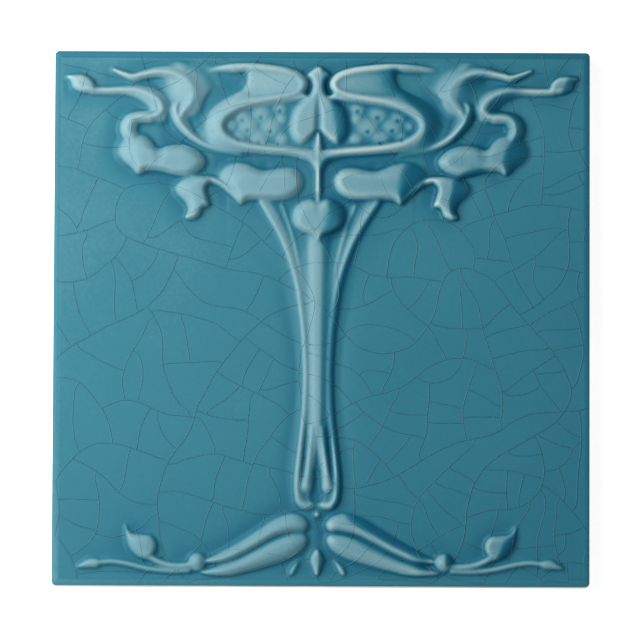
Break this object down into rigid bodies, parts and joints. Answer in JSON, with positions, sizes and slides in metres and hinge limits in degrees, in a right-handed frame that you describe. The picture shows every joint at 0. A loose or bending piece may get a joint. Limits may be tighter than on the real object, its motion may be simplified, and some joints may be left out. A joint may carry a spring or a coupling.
{
  "type": "decorative ceramic tile",
  "caption": "Square glazed wall tile with a mirrored plant ornament in low relief on its face, a rounded edge and keying grooves in its back.",
  "frame": {"origin": "middle of the back, on the plane that the tile lies on", "axes": "+X towards the tile's right edge, +Y towards its top edge (the flower's end of the ornament), +Z out of the glazed face"},
  "size_m": [0.1524, 0.1524, 0.0113],
  "materials": {
    "glazed_tile": "glossy translucent blue-green glaze, crazed, pale on the crests and dark in the hollows"
  },
  "bodies": {
    "root": {"tile": "glazed_tile"}
  },
  "joints": []
}
